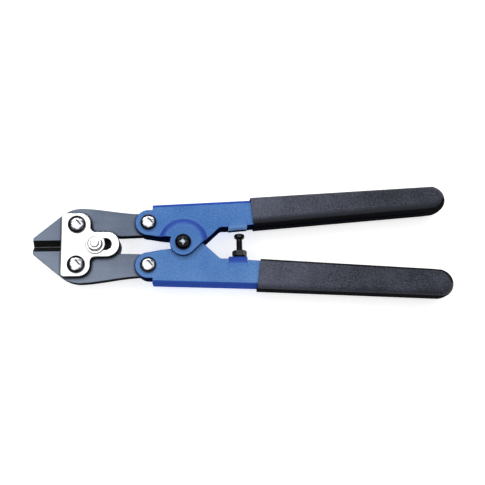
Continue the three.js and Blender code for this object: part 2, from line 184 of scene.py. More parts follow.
def inside(points, loops):
    """Which points lie inside an odd number of loops."""
    odd = np.zeros(len(points), bool)
    for loop in loops:
        a, b = loop, np.roll(loop, -1, 0)
        for (x0, y0), (x1, y1) in zip(a, b):
            crosses = (y0 > points[:, 1]) != (y1 > points[:, 1])
            if crosses.any() and y1 != y0:
                at = x0 + (points[:, 1] - y0) * (x1 - x0) / (y1 - y0)
                odd ^= crosses & (points[:, 0] < at)
    return odd


INSIDE_ONLY = 1  # the kind of result asked of the triangulation


def filled(loops, extra=()):
    """Triangles over the area between loops: (points, faces), with the loops' points first."""
    points, edges = [], []
    for loop in loops:
        base = len(points)
        points += [Vector(p) for p in loop]
        edges += [(base + i, base + (i + 1) % len(loop)) for i in range(len(loop))]
    ring_count = len(points)
    extra = np.asarray(extra, float).reshape(-1, 2)
    if len(extra):
        points += [Vector(p) for p in extra[inside(extra, loops)]]
    out, _, faces, origin, _, _ = delaunay_2d_cdt(points, edges, [], INSIDE_ONLY, TINY)
    index = {}
    spare = ring_count
    for i, source in enumerate(origin):
        ring = [s for s in source if s < ring_count]
        if ring:
            index[i] = ring[0]
        else:
            index[i] = spare
            spare += 1
    xy = np.zeros((spare, 2))
    for i, at in index.items():
        xy[at] = out[i]
    for i in range(ring_count):
        xy[i] = points[i]
    tris = np.array([[index[v] for v in f] for f in faces])
    if len(loops) > 1:
        tris = tris[~inside(xy[tris].mean(1), loops[1:])]
    return xy, tris


def plate(name, outline, holes, low, high, edge_low, edge_high, extra=(), rise=None, steps=4):
    """A plate between two heights with rounded edges. `rise` lifts its upper side point by point."""
    loops = [wound(np.asarray(outline), True)] + [wound(np.asarray(h), False) for h in holes]
    low_turns = np.linspace(0, math.pi / 2, steps + 1) if edge_low else [math.pi / 2]
    high_turns = np.linspace(0, math.pi / 2, steps + 1) if edge_high else [math.pi / 2]
    sections = [(edge_low * (1 - math.sin(a)), low + edge_low * (1 - math.cos(a))) for a in low_turns]
    sections += [(edge_high * (1 - math.cos(a)), high - edge_high * (1 - math.sin(a))) for a in high_turns]
    verts, faces, rings = [], [], []
    middle = (low + high) / 2
    for shift, z in sections:
        moved = [inset(loop, shift) for loop in loops]
        rings.append((len(verts), moved))
        for loop in moved:
            for x, y in loop:
                lift = rise(x, y) if rise and z > middle else 0
                verts.append((x, y, z + lift))
    for (base, moved), (above, _) in zip(rings, rings[1:]):
        start = 0
        for loop in moved:
            n = len(loop)
            for i in range(n):
                a, b = start + i, start + (i + 1) % n
                faces.append((base + a, base + b, above + b, above + a))
            start += n
    count = sum(len(loop) for loop in loops)
    for (base, moved), z, spare, up in ((rings[0], low, (), False), (rings[-1], high, extra, True)):
        xy, tris = filled(moved, spare)
        more = len(verts)
        for x, y in xy[count:]:
            lift = rise(x, y) if rise and up else 0
            verts.append((x, y, z + lift))
        for tri in tris:
            face = [base + v if v < count else more + v - count for v in tri]
            a, b, c = (xy[v] for v in tri)
            turns_left = np.cross(b - a, c - a) > 0
            faces.append(tuple(face if turns_left == up else face[::-1]))
    return new_object(name, verts, faces)


def closed_outwards(obj):
    """Turns a closed mesh's faces outwards."""
    bm = bmesh.new()
    bm.from_mesh(obj.data)
    bmesh.ops.recalc_face_normals(bm, faces=bm.faces)
    bm.to_mesh(obj.data)
    bm.free()
    return obj


def loft(name, rows):
    """A closed solid through rings of points that have the same count."""
    n = len(rows[0])
    verts = [p for ring in rows for p in ring]
    faces = [tuple(range(n)), tuple(range(len(verts) - n, len(verts)))]
    for base in range(0, len(verts) - n, n):
        faces += [(base + i, base + (i + 1) % n, base + n + (i + 1) % n, base + n + i) for i in range(n)]
    return closed_outwards(new_object(name, verts, faces))


def bar(section, start, end, slope=0.0):
    """A solid swept along X. The section holds (y, z) pairs, and y moves with the slope."""
    return loft("bar", [[(x, y + slope * x, z) for y, z in section] for x in (start, end)])


def frame_of(axis):
    """Rotation that takes +Z to an axis."""
    return Vector((0, 0, 1)).rotation_difference(Vector(axis)).to_matrix()


def lathe(name, profile, at, axis=(0, 0, 1), sides=64, wave=None):
    """A solid of revolution. The profile runs from axis to axis, as (radius, height) pairs.

    `wave` gives what is added to the radius at an angle and a height.
    """
    turn = frame_of(axis)
    verts, faces = [], []
    rows = []
    for r, z in profile:
        if r < TINY:
            rows.append([len(verts)])
            verts.append(Vector((0, 0, z)))
            continue
        rows.append(list(range(len(verts), len(verts) + sides)))
        for i in range(sides):
            a = 2 * math.pi * i / sides
            reach = r + (wave(a, z) if wave else 0)
            verts.append(Vector((reach * math.cos(a), reach * math.sin(a), z)))
    for low, high in zip(rows, rows[1:]):
        for i in range(sides):
            j = (i + 1) % sides
            a, b = low[i % len(low)], low[j % len(low)]
            c, d = high[j % len(high)], high[i % len(high)]
            face = tuple(dict.fromkeys((a, b, c, d)))
            if len(face) > 2:
                faces.append(face)
    at = Vector((at[0], at[1], at[2] if len(at) > 2 else 0))
    return new_object(name, [tuple(at + turn @ v) for v in verts], faces)


def rod(r, low, high):
    """The profile of a plain cylinder."""
    return [(0, low), (r, low), (r, high), (0, high)]


def rounded(profile, radius):
    """A lathe profile with its corners rounded off, over less than half of each edge."""
    share, steps = 0.45, 4
    out = [profile[0]]
    for a, b, c in zip(profile, profile[1:], profile[2:]):
        a, b, c = np.array(a, float), np.array(b, float), np.array(c, float)
        room = min(radius, np.linalg.norm(a - b) * share, np.linalg.norm(c - b) * share)
        start = b + (a - b) / np.linalg.norm(a - b) * room
        end = b + (c - b) / np.linalg.norm(c - b) * room
        for t in np.linspace(0, 1, steps + 1):
            out.append(tuple((1 - t) ** 2 * start + 2 * t * (1 - t) * b + t * t * end))
    return out + [profile[-1]]


def evaluated(obj):
    """Applies an object's modifiers."""
    graph = bpy.context.evaluated_depsgraph_get()
    mesh = bpy.data.meshes.new_from_object(obj.evaluated_get(graph))
    obj.modifiers.clear()
    old, obj.data = obj.data, mesh
    bpy.data.meshes.remove(old)
    return obj


def combine(obj, other, operation):
    """Joins, cuts or intersects two closed meshes, and removes the second."""
    mod = obj.modifiers.new("combine", "BOOLEAN")
    mod.operation = operation
    mod.solver = "MANIFOLD"
    mod.object = other
    evaluated(obj)
    bpy.data.objects.remove(other)
    return obj


def smooth(obj, angle=32):
    """Smooth shading that keeps flats flat and creases sharp."""
    for p in obj.data.polygons:
        p.use_smooth = True
    obj.data.set_sharp_from_angle(angle=math.radians(angle))
    mod = obj.modifiers.new("normals", "WEIGHTED_NORMAL")
    mod.keep_sharp = True
    mod.weight = 80
    return obj


def turned_over(obj):
    """Turns a piece over about the X axis, which makes an upper piece a lower one."""
    middle = Matrix.Translation(ORIGIN)
    obj.data.transform(middle @ Matrix.Rotation(math.pi, 4, "X") @ middle.inverted())
    return obj


def stands_for(obj, node, *materials):
    """Gives a piece its materials and puts it in the place of a CAD node."""
    obj.data.materials.clear()
    for m in materials:
        obj.data.materials.append(m)
    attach(obj, BODY[node])
    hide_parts(node)
    return obj


# ------------------------------------------------ materials
class Shader:
    """A node material with a Principled shader. Object coordinates are in metres."""

    def __init__(self, name, **constants):
        self.material = bpy.data.materials.new(name)
        self.material.use_nodes = True
        self.tree = self.material.node_tree
        self.main = self.tree.nodes["Principled BSDF"]
        for key, value in constants.items():
            self.main.inputs[key.replace("_", " ")].default_value = value
        self.place = self.add("ShaderNodeTexCoord").outputs["Object"]

    def add(self, kind, **values):
        """A new node. Each value goes to the input or the setting of its name."""
        node = self.tree.nodes.new(kind)
        for key, value in values.items():
            if isinstance(value, bpy.types.NodeSocket):
                self.tree.links.new(value, node.inputs[key.replace("_", " ")])
            elif key.replace("_", " ") in node.inputs and not hasattr(node, key):
                node.inputs[key.replace("_", " ")].default_value = value
            else:
                setattr(node, key, value)
        return node

    def split(self, vector):
        """The X, Y and Z of a vector."""
        node = self.add("ShaderNodeSeparateXYZ")
        self.tree.links.new(vector, node.inputs["Vector"])
        return node.outputs["X"], node.outputs["Y"], node.outputs["Z"]

    def levelness(self):
        """1 where the surface is level, 0 where it is upright."""
        normal = self.add("ShaderNodeNewGeometry").outputs["Normal"]
        return self.math("ABSOLUTE", self.split(normal)[2])

    def stretched(self, x, y, z):
        """Object coordinates scaled along each axis."""
        node = self.add("ShaderNodeMapping")
        self.tree.links.new(self.place, node.inputs["Vector"])
        node.inputs["Scale"].default_value = (x, y, z)
        return node.outputs["Vector"]

    def noise(self, size_mm, detail=3.0, roughness=0.55, at=None):
        """Noise whose blobs are about size_mm across."""
        scale = MM_PER_METRE / size_mm
        node = self.add("ShaderNodeTexNoise", Scale=scale, Detail=detail, Roughness=roughness)
        self.tree.links.new(at or self.place, node.inputs["Vector"])
        return node.outputs["Fac"]

    def cells(self, size_mm):
        """Distance from the middle of cells that are about size_mm across."""
        node = self.add("ShaderNodeTexVoronoi", Scale=MM_PER_METRE / size_mm)
        self.tree.links.new(self.place, node.inputs["Vector"])
        return node.outputs["Distance"]

    def ramp(self, value, *stops):
        """A colour ramp; each stop is (position, grey or colour)."""
        node = self.add("ShaderNodeValToRGB")
        self.tree.links.new(value, node.inputs["Fac"])
        band = node.color_ramp
        while len(band.elements) < len(stops):
            band.elements.new(0.5)
        for element, (at, shade) in zip(band.elements, stops):
            element.position = at
            rgb = shade if isinstance(shade, tuple) else (shade, shade, shade)
            element.color = (*rgb, 1)
        return node.outputs["Color"]

    def math(self, operation, a, b=0.0, clamp=False):
        node = self.add("ShaderNodeMath")
        node.operation = operation
        node.use_clamp = clamp
        for socket, value in zip(node.inputs, (a, b)):
            if isinstance(value, bpy.types.NodeSocket):
                self.tree.links.new(value, socket)
            else:
                socket.default_value = value
        return node.outputs["Value"]

    def total(self, *terms):
        """A weighted sum; each term is (value, weight)."""
        out, *rest = (self.math("MULTIPLY", value, weight) for value, weight in terms)
        for part in rest:
            out = self.math("ADD", out, part)
        return out

    def mix(self, fac, a, b):
        """Colour `a` where fac is 0, and `b` where it is 1."""
        node = self.add("ShaderNodeMix")
        node.data_type = "RGBA"
        sockets = [s for s in node.inputs if s.enabled and s.type in ("VALUE", "RGBA")]
        for socket, value in zip(sockets, (fac, a, b)):
            if isinstance(value, bpy.types.NodeSocket):
                self.tree.links.new(value, socket)
            else:
                socket.default_value = value if isinstance(value, float) else (*value, 1)
        return [s for s in node.outputs if s.enabled][0]

    def set(self, key, value):
        self.tree.links.new(value, self.main.inputs[key])

    def bump(self, height, depth_mm):
        """Adds relief on top of the relief that is already there."""
        node = self.add("ShaderNodeBump", Strength=1.0, Distance=depth_mm * MM)
        self.tree.links.new(height, node.inputs["Height"])
        previous = self.main.inputs["Normal"].links
        if previous:
            self.tree.links.new(previous[0].from_socket, node.inputs["Normal"])
        self.set("Normal", node.outputs["Normal"])


def jaw_steel():
    """Satin blue-grey forging, surface ground along its length, with painted light that makes it paler
    towards the blade and on the lower jaw, and painted shade in its crevices.
    """
    s = Shader("jaw_steel", Metallic=1.0)
    grain = s.noise(3.0, 4, at=s.stretched(0.12, 1.4, 1.0))
    fine = s.noise(0.35, 3, 0.7)
    cloud = s.noise(14.0, 2)
    speck = s.noise(0.6, 3, 0.75)
    # Painted light: paler towards the blade and on the lower jaw.
    painted_light_from, painted_light_to_blade, painted_light_to_lower = -0.045, -7.0, -14.0
    x, y, _ = s.split(s.place)
    blade = s.math("MULTIPLY", s.math("SUBTRACT", x, painted_light_from), painted_light_to_blade, clamp=True)
    below = s.math("MULTIPLY", y, painted_light_to_lower, clamp=True)
    tone = s.total((grain, 0.15), (cloud, 0.3), (speck, 0.6), (blade, 0.7), (below, 1.0))
    low, high, painted_crevice_shade = (0.055, 0.073, 0.11), (0.195, 0.23, 0.295), (0.012, 0.013, 0.018)
    # Painted shade: darker in crevices next to other parts, found by ambient occlusion.
    open_sky = s.add("ShaderNodeAmbientOcclusion", samples=8, Distance=2.2 * MM).outputs["AO"]
    painted_crevice_shade_mask = s.ramp(open_sky, (0.58, 1.0), (0.88, 0.0))
    s.set("Base Color", s.mix(painted_crevice_shade_mask, s.ramp(tone, (0.36, low), (1.0, high)), painted_crevice_shade))
    s.set("Roughness", s.ramp(fine, (0.3, 0.42), (0.7, 0.56)))
    s.bump(grain, 0.02)
    s.bump(fine, 0.012)
    return s.material


def blade_black():
    """Blackened bevels, with a broken pale line of painted light along the two cutting edges."""
    s = Shader("blade_black", Metallic=0.6)
    widest, painted_gap_light = 0.36 * MM, (0.1, 0.1, 0.1)
    # Painted light where the closed edges meet, in a broken band.
    off_edge = s.math("ABSOLUTE", s.split(s.place)[1])
    dashed_width = s.math("MULTIPLY", s.noise(1.6, 2, at=s.stretched(1, 0.3, 0.3)), widest)
    edge = s.math("LESS_THAN", off_edge, dashed_width)
    soot = s.ramp(s.noise(2.2, 4), (0.3, (0.006, 0.006, 0.007)), (0.75, (0.018, 0.018, 0.021)))
    s.set("Base Color", s.mix(edge, soot, painted_gap_light))
    s.set("Roughness", s.ramp(s.noise(0.5, 3), (0.3, 0.5), (0.7, 0.65)))
    s.bump(s.noise(0.4, 3), 0.02)
    return s.material


def plate_nickel():
    """Tumbled bright nickel plate."""
    s = Shader("plate_nickel", Metallic=1.0)
    fine = s.noise(0.5, 4, 0.65)
    wave = s.noise(7.0, 2)
    s.set("Base Color", s.ramp(wave, (0.3, (0.84, 0.85, 0.86)), (0.7, (0.93, 0.935, 0.94))))
    s.set("Roughness", s.ramp(fine, (0.3, 0.15), (0.72, 0.26)))
    s.bump(wave, 0.03)
    s.bump(fine, 0.006)
    return s.material


def enamel(name, dark, light, folded, gloss=0.25, bent=0.8):
    """Powder coat with a fine orange peel.

    Painted light makes it paler towards the lower handle, and painted shade turns it to `folded`
    where the sheet is more upright than `bent`.
    """
    s = Shader(name, Specular_IOR_Level=gloss)
    peel = s.noise(0.75, 3, 0.6)
    speck = s.noise(0.55, 3, 0.7)
    cloud = s.noise(30.0, 2)
    # Painted light: paler towards the lower handle.
    tone = s.total((speck, 0.6), (cloud, 0.4), (s.split(s.place)[1], -2.6))
    # Painted shade on upright sheet.
    level = s.ramp(s.levelness(), (bent, 0.0), (0.997, 1.0))
    s.set("Base Color", s.mix(level, folded, s.ramp(tone, (0.38, dark), (0.64, light))))
    s.set("Roughness", s.ramp(peel, (0.3, 0.38), (0.7, 0.52)))
    s.bump(peel, 0.045)
    return s.material


def vinyl(name, dark, light, gloss):
    """Pebbled dipped vinyl, with painted light that makes it paler at the mouth, and painted shade on
    upright faces and along the upper grip's inner edge.
    """
    s = Shader(name, IOR=1.5, Specular_IOR_Level=gloss)
    pebble = s.cells(0.8)
    fine = s.noise(0.5, 3, 0.7)
    cloud = s.noise(16.0, 2)
    painted_light_from, painted_light_to_mouth, darkest = 0.045, -2.2, -0.05
    x, y, _ = s.split(s.place)
    # Painted light: paler towards the mouth.
    along = s.math("MULTIPLY", s.math("SUBTRACT", x, painted_light_from), painted_light_to_mouth)
    shade = s.total((fine, 0.8), (cloud, 0.2), (s.math("MAXIMUM", along, darkest), 1.0))
    # Painted shade: upright faces and a band along the upper grip's inner edge take the dark colour.
    level = s.ramp(s.levelness(), (0.35, 0.0), (0.95, 1.0))
    edge = s.math("MULTIPLY", s.math("SUBTRACT", x, ORIGIN.x), INNER_SLOPE)
    edge = s.math("ADD", edge, (INNER_FRONT - INNER_SLOPE * INNER_FRONT_X) * MM)
    inside_edge, below = s.math("SUBTRACT", y, edge), s.math("MULTIPLY", y, -1.0)
    centimetres = s.math("MULTIPLY", s.math("MAXIMUM", inside_edge, below), 100.0)
    sunk = s.ramp(centimetres, (0.17, 0.0), (0.38, 1.0))
    level = s.math("MULTIPLY", level, sunk)
    s.set("Base Color", s.mix(level, dark, s.ramp(shade, (0.4, dark), (0.66, light))))
    s.set("Roughness", s.ramp(fine, (0.3, 0.5), (0.7, 0.7)))
    s.bump(pebble, 0.1)
    s.bump(fine, 0.05)
    return s.material


def metal(name, base, rough):
    """Plain plated or blackened steel for fasteners."""
    tint, ripple = 1.12, 0.004
    s = Shader(name, Metallic=1.0)
    fine = s.noise(0.6, 3, 0.6)
    cloud = s.noise(3.5, 3)
    dark = tuple(c / tint for c in base)
    s.set("Base Color", s.ramp(cloud, (0.3, dark), (0.7, base)))
    s.set("Roughness", s.ramp(fine, (0.3, rough * 0.8), (0.7, rough * 1.25)))
    s.bump(fine, ripple)
    return s.material


def wall_shade_paint(name, dark, light):
    """Painted shade for upright walls: dark, rough and without a sheen."""
    s = Shader(name, Specular_IOR_Level=0.0)
    mottle = s.noise(0.9, 4, 0.65)
    s.set("Base Color", s.ramp(mottle, (0.35, dark), (0.65, light)))
    s.set("Roughness", s.ramp(mottle, (0.3, 0.75), (0.7, 0.95)))
    s.bump(mottle, 0.03)
    return s.material


def domed(name, core, rim, rough, pointed, fade):
    """A bolt head with a painted highlight in the middle, crossed by a painted dark line, and a painted
    dark reflection at the rim.

    `pointed` makes the painted highlight a star, and `fade` is how far out it starts to darken.
    """
    s = Shader(name, Metallic=1.0)
    fine = s.noise(0.6, 3, 0.6)
    dent = s.noise(2.0, 3, 0.6)
    u, v, _ = s.split(s.add("ShaderNodeUVMap").outputs["UV"])
    # Painted highlight, with a broken edge, pointed into a star on the main pivot.
    reach = s.math("SQRT", s.total((u, u), (v, v)))
    corner = s.math("ABSOLUTE", s.math("MULTIPLY", u, v))
    glint_reach = s.total((reach, 1.0), (s.math("SUBTRACT", dent, 0.5), 1.1), (corner, pointed))
    # Painted dark line across the painted highlight.
    lean_u, lean_v, dark_line_at, dark_line_half = 0.74, 0.67, 0.42, 0.5
    across = s.total((u, lean_u), (v, lean_v))
    along = s.math("ABSOLUTE", s.total((u, lean_v), (v, -lean_u)))
    off_line = s.math("ABSOLUTE", s.math("SUBTRACT", across, dark_line_at))
    off_dark_line = s.math("MAXIMUM", off_line, s.math("SUBTRACT", along, dark_line_half))
    painted_glint = s.ramp(off_dark_line, (0.07, tuple(c * 0.07 for c in core)), (0.2, core))
    # Painted reflection: the rim darkens outwards.
    outer = s.ramp(reach, (1.05, rim), (1.2, tuple(c * 0.4 for c in rim)))
    s.set("Base Color", s.mix(s.ramp(glint_reach, (fade, 0.0), (1.0, 1.0)), painted_glint, outer))
    s.set("Roughness", s.ramp(fine, (0.3, rough * 0.8), (0.7, rough * 1.3)))
    s.bump(dent, 0.07)
    s.bump(fine, 0.004)
    return s.material


def plate_inside_shade():
    """The unseen inner faces of the side plates, with painted shade."""
    s = Shader("plate_inside_painted_shade", Metallic=0.7)
    patchiness = s.noise(1.8, 4, 0.6)
    s.set("Base Color", s.ramp(patchiness, (0.3, (0.03, 0.028, 0.04)), (0.7, (0.08, 0.075, 0.1))))
    s.set("Roughness", s.ramp(patchiness, (0.3, 0.45), (0.7, 0.7)))
    s.bump(patchiness, 0.04)
    return s.material


def floor_paper():
    """Pale paper that glows a little, like a lit sweep."""
    s = Shader("paper", Roughness=0.95, Emission_Strength=0.65)
    tooth = s.ramp(s.noise(40.0, 3), (0.3, 0.86), (0.7, 0.88))
    s.set("Base Color", tooth)
    s.set("Emission Color", tooth)
    return s.material


# Painted shade colours: FOLDED for bends and upright sheet, SHADED for the handles' inside faces and cut
# edges.
FOLDED = (0.032, 0.08, 0.4)
BLUE = (0.025, 0.13, 0.42), (0.13, 0.29, 0.6)
SHADED = (0.003, 0.009, 0.04), (0.006, 0.018, 0.07), (0.002, 0.006, 0.026)
MAT = {
    "jaw": jaw_steel(),
    # Painted shade on the jaws' upright walls.
    "shaded_jaw_wall": wall_shade_paint("jaw_wall_painted_shade", (0.006, 0.006, 0.007), (0.016, 0.016, 0.018)),
    "blade": blade_black(),
    "plate": plate_nickel(),
    "enamel": enamel("blue_enamel", *BLUE, FOLDED),
    # Enamel copies: painted shade on the bends, the lower tab and the inside faces, painted light on the
    # upper tab.
    "fold": enamel("enamel_fold", FOLDED, (0.03, 0.1, 0.4), FOLDED, gloss=0.0),
    "lit_fold": enamel("enamel_lit", *BLUE, (0.19, 0.4, 0.85)),
    "deep_fold": enamel("enamel_deep", *BLUE, FOLDED, gloss=0.1, bent=0.93),
    "inside_shade": enamel("enamel_inside_shade", *SHADED, gloss=0.0),
    "vinyl": vinyl("grip_vinyl", (0.014, 0.016, 0.024), (0.108, 0.116, 0.165), gloss=0.2),
    # A dark copy of the vinyl, painted shade on the grips' inward and upright faces.
    "underside": vinyl("vinyl_painted_shade", (0.01, 0.01, 0.012), (0.036, 0.036, 0.044), gloss=0.0),
    # Bolt heads with a painted highlight, star-shaped on the main pivot, and a painted dark rim.
    "bright": domed("bright_bolt", (0.72, 0.73, 0.75), (0.06, 0.06, 0.075), 0.14, pointed=0.0, fade=0.76),
    "pivot": domed("black_dome", (0.42, 0.47, 0.5), (0.01, 0.01, 0.013), 0.2, pointed=3.2, fade=0.3),
    # Painted shade on the side plates' inner faces.
    "plate_inside_shade": plate_inside_shade(),
    "lock": metal("lock_chrome", (0.9, 0.9, 0.9), 0.14),
    # Painted shade on the upright walls of the side plates and the lock.
    "shaded_side_wall": wall_shade_paint("side_wall_painted_shade", (0.008, 0.008, 0.01), (0.03, 0.03, 0.034)),
    "zinc": metal("zinc_nut", (0.62, 0.63, 0.64), 0.3),
    "black": metal("black_oxide", (0.035, 0.035, 0.038), 0.24),
}


# ------------------------------------------------ jaws
BLADE_END = -88.0
BEVEL_TOP = 2.8


def jaw_outline():
    """One jaw: blade, shoulder over the pivot, and a tail that tapers to its own pivot."""
    turn = Outline((TIP_X, EDGE_GAP)).line(TIP_X, 4.1).line(-90.8, 15.3)
    turn.curve((-86.4, 18.9), (-81.2, 19.0)).curve((-72.5, 18.9), (-62, 16.3), (-52, 15.9), count=24)
    turn.arc(TAIL_PIVOT.x, TAIL_PIVOT.y, 5.6, 80, -80)
    turn.line(-51, 4.7).line(-61, 4.4).curve((-69, 4.7), (-76, 5.2))
    turn.arc(JAW_PIVOT.x, JAW_PIVOT.y, JAW_PIVOT.y - EDGE_GAP, -80, -90)
    return turn.array(1.0)


def bevel(side):
    """The wedge ground off one face of a blade."""
    land, face, far = side * 0.1, side * JAW_HALF, side * (JAW_HALF + 1)
    section = [(-1, land), (EDGE_GAP, land), (BEVEL_TOP, face), (BEVEL_TOP, far), (-1, far)]
    return bar(section, TIP_X - 1, BLADE_END)


def jaw(side):
    flat, bevelled, upright = range(3)
    edge = 0.3
    holes = [circle(JAW_PIVOT.x, JAW_PIVOT.y, 2.6), circle(TAIL_PIVOT.x, TAIL_PIVOT.y, 2.2)]
    obj = plate(side + "_jaw_detail", jaw_outline(), holes, -JAW_HALF, JAW_HALF, edge, edge)
    for face in (1, -1):
        combine(obj, bevel(face), "DIFFERENCE")
    if side == "lower":
        turned_over(obj)
    stands_for(obj, side + "_jaw", MAT["jaw"], MAT["blade"], MAT["shaded_jaw_wall"])
    # Upright faces take painted shade.
    for p in obj.data.polygons:
        place = (p.center - ORIGIN) / MM
        if abs(place.y) < BEVEL_TOP + 0.05 and place.x < BLADE_END + 0.5:
            p.material_index = bevelled
        else:
            p.material_index = upright if abs(p.normal.z) < 0.5 else flat
    smooth(obj)


# ------------------------------------------------ side plates
def plate_outline():
    """A T: a cross-piece over both jaw pivots, and a tongue towards the main pivot."""
    left, top, corner = -90.3, 16.1, 1.9
    lobe_x, lobe_y, lobe_r = -81.5, 10.4, 5.7
    tongue, half, root = -67.9, 6.4, 2.2
    x, y = left + corner, top - corner
    fx, fy = lobe_x + lobe_r + root, half + root
    turn = Outline().arc(x, -y, corner, 180, 270).arc(lobe_x, -lobe_y, lobe_r, 270, 360)
    turn.arc(fx, -fy, root, 180, 90).arc(tongue, 0, half, -90, 90)
    turn.arc(fx, fy, root, 270, 180).arc(lobe_x, lobe_y, lobe_r, 0, 90).arc(x, y, corner, 90, 180)
    return turn.array(1.2)


def side_plate(node, front):
    """A side plate, rounded on its outer face. Only the front one has the lock's slot."""
    bright, hidden, upright = range(3)
    inner_edge, outer_edge = 0.15, 0.6
    holes = [circle(JAW_PIVOT.x, sign * JAW_PIVOT.y, 2.5) for sign in (1, -1)]
    if front:
        slot_half = 2.8
        slot = Outline().arc(-68.4, 0, slot_half, -90, 90).arc(-74.7, 0, slot_half, 90, 270)
        holes.append(slot.array())
        low, high, edges = PLATE_IN, PLATE_OUT, (inner_edge, outer_edge)
    else:
        low, high, edges = -PLATE_OUT, -PLATE_IN, (outer_edge, inner_edge)
    obj = plate(node + "_detail", plate_outline(), holes, low, high, *edges, steps=5)
    stands_for(obj, node, MAT["plate"], MAT["plate_inside_shade"], MAT["shaded_side_wall"])
    # The inner faces and the upright walls take painted shade.
    for p in obj.data.polygons:
        if abs((p.center.z - ORIGIN.z) / MM) < PLATE_IN + 0.01:
            p.material_index = hidden
        else:
            p.material_index = upright if abs(p.normal.z) < 0.6 else bright
    smooth(obj)


# ------------------------------------------------ handles
WEB_START, WEB_Y, WEB_SLOPE = -45.3, 20.0, 0.0402
CHANNEL_END = 97.0
BEND = 2.0
LOBE = 6.6
EAR_RADIUS = 6.5
CROTCH_Y = 8.0
CUT_EDGE = 0.4
JOGGLE_FROM, JOGGLE_TO = 12.3, 8.2
TAB_FROM, TAB_TO = -7.5, 1.8
TABS = {
    "upper": {"face": 7.2, "bend": 3.0, "reach": 1.2, "slope": INNER_SLOPE},
    "lower": {"face": 6.1, "bend": 5.5, "reach": 4.0, "slope": 0.0},
}


def web_at(x):
    """How far out the channel's web is at a place along the handle."""
    return WEB_Y + WEB_SLOPE * (x - WEB_START)


def inner_at(x):
    """How far out the cheeks' inner edges are at a place along the handle."""
    return INNER_FRONT + INNER_SLOPE * (x - INNER_FRONT_X)


def cheek_outline():
    """Both cheeks seen from the side: the tail pivot's ear, the main pivot's lobe and the channel."""
    lean_degrees = 43
    lean = math.radians(lean_degrees)
    lobe_end = -180 - math.degrees(math.asin(2.7 / LOBE))
    edge_x = MAIN_PIVOT.x + LOBE * math.sin(lean)
    edge_y = -LOBE * math.cos(lean)
    throat = edge_x + (CROTCH_Y - edge_y) / math.tan(lean)
    turn = Outline((WEB_START, TAIL_PIVOT.y + EAR_RADIUS)).line(WEB_START, web_at(WEB_START))
    turn.line(CHANNEL_END, web_at(CHANNEL_END)).line(CHANNEL_END, inner_at(CHANNEL_END))
    turn.line(TAB_TO, inner_at(TAB_TO)).line(TAB_FROM, CROTCH_Y).line(throat + 1, CROTCH_Y)
    turn.curve((throat, CROTCH_Y), (throat - 1, CROTCH_Y - math.tan(lean)), count=8)
    turn.arc(MAIN_PIVOT.x, 0, LOBE, lean_degrees - 90, lobe_end)
    turn.line(-41.2, 3.2).arc(TAIL_PIVOT.x, TAIL_PIVOT.y, EAR_RADIUS, -90, -270)
    return turn.array(1.5)


def step_up(x, y):
    """Height of the joggle round the main pivot: steep at the cheek, easing into the ear."""
    t = (JOGGLE_FROM - math.hypot(x - MAIN_PIVOT.x, y)) / (JOGGLE_FROM - JOGGLE_TO)
    t = min(max(t, 0), 1)
    return EAR_RISE * (1 - (1 - t) ** 2)


def rings_round_pivot():
    """Points on circles round the main pivot, which carry the joggle."""
    rings = [circle(MAIN_PIVOT.x, 0, r, int(9 * r)) for r in np.arange(7.9, 12.9, 0.4)]
    return np.concatenate(rings + [circle(MAIN_PIVOT.x, 0, 6.9), circle(MAIN_PIVOT.x, 0, 5.0)])


def round_back():
    """The channel's outer shape: a flat web with a bend at each corner, open over the raised ear."""
    web = web_at(0)
    far, ear_from, rise = web - 40, web - 8.0, CHEEK_OUT + EAR_RISE + 0.6
    section = [(far, -CHEEK_OUT - 0.3)]
    for z, start in ((BEND - CHEEK_OUT, -90), (CHEEK_OUT - BEND, 0)):
        for a in np.radians(np.linspace(start, start + 90, 9)):
            section.append((web - BEND + BEND * math.cos(a), z + BEND * math.sin(a)))
    section += [(ear_from, CHEEK_OUT + 0.05), (ear_from, rise), (far, rise)]
    return bar(section, -70, 120, WEB_SLOPE)


def channel_void():
    """The space between the cheeks, lifted with the joggle at the front."""
    front, back, below = -60.0, 110.0, -20.0
    loop = Outline((front, below)).line(back, below)
    loop.line(back, web_at(back) - SHEET).line(front, web_at(front) - SHEET)
    return plate("void", loop.array(), [], -CHEEK_IN, CHEEK_IN, 0, 0, rings_round_pivot(), step_up)


def tab_section(face, bend, reach):
    """A tongue of the cheek at -Z, bent across the channel."""
    chamfer = 0.3
    y, z = face + bend, bend - CHEEK_OUT
    section = [(face + chamfer, reach), (face, reach - chamfer)]
    for a in np.radians(np.linspace(180, 270, 16)):
        section.append((y + bend * math.cos(a), z + bend * math.sin(a)))
    section += [(y + 1, -CHEEK_OUT), (y + 1, -CHEEK_IN)]
    inner = bend - SHEET
    for a in np.radians(np.linspace(270, 180, 10)):
        section.append((y + inner * math.cos(a), z + inner * math.sin(a)))
    return section + [(face + SHEET, reach - chamfer), (face + SHEET - chamfer, reach)]


def with_tab(obj, side):
    """Cuts a cheek free round its stop tab, and adds the tab.

    Both tabs end up on the front cheeks. The lower handle is still to be turned over, so its tab is
    made at -Z, and the upper one at +Z.
    """
    slot = 0.12
    face, bend, reach, slope = TABS[side].values()
    far = face + bend + 0.6
    relief = [(0, -9), (far, -9), (far, -1), (0, -1)]
    facing = -1 if side == "upper" else 1
    free = [(y, z * facing) for y, z in relief]
    tongue = [(y, z * facing) for y, z in tab_section(face, bend, reach)]
    combine(obj, bar(free, TAB_FROM - slot, TAB_TO + slot, slope), "DIFFERENCE")
    return combine(obj, bar(tongue, TAB_FROM, TAB_TO, slope), "UNION")


